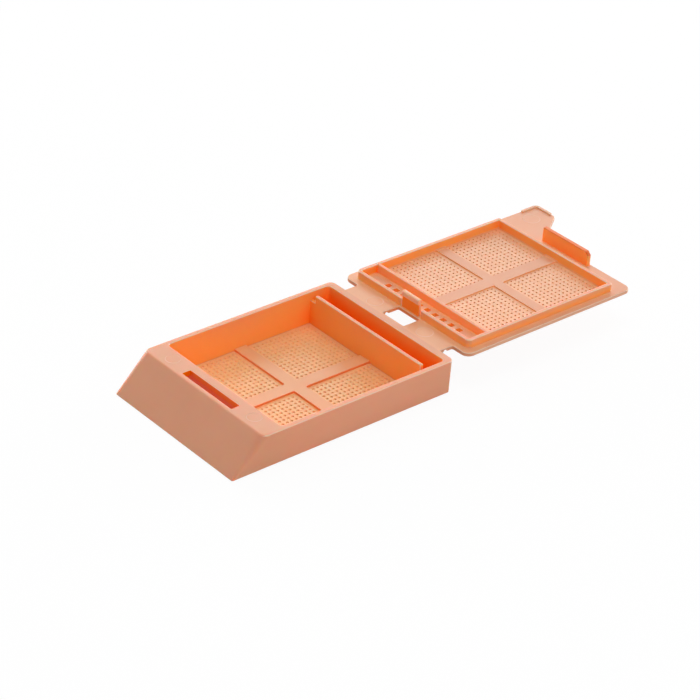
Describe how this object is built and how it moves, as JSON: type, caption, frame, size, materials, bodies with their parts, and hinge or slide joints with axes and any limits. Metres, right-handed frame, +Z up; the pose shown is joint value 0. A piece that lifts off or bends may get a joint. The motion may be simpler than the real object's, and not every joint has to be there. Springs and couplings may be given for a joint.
{
  "type": "tissue cassette",
  "caption": "Plastic cassette for tissue specimens: open mesh tray with a sloped label end, and a mesh lid that folds over on a living hinge and snaps shut.",
  "frame": {"origin": "on the underside of the tray, half way along it and half way across", "axes": "+X from the label slope towards the opened lid, +Y across the width towards the thumb tab side, +Z up out of the open tray"},
  "size_m": [0.0847, 0.0282, 0.0084],
  "materials": {
    "acetal": "moulded acetal, peach orange, soft satin"
  },
  "bodies": {
    "tray": {"cassette_tray": "acetal"},
    "lid": {"cassette_lid": "acetal"}
  },
  "joints": [
    {"name": "lid_hinge", "type": "hinge", "parent": "tray", "child": "lid", "pos_m": [0.0216, 0, 0.0057], "axis": [0, -1, 0], "range_deg": [0, 180]}
  ]
}
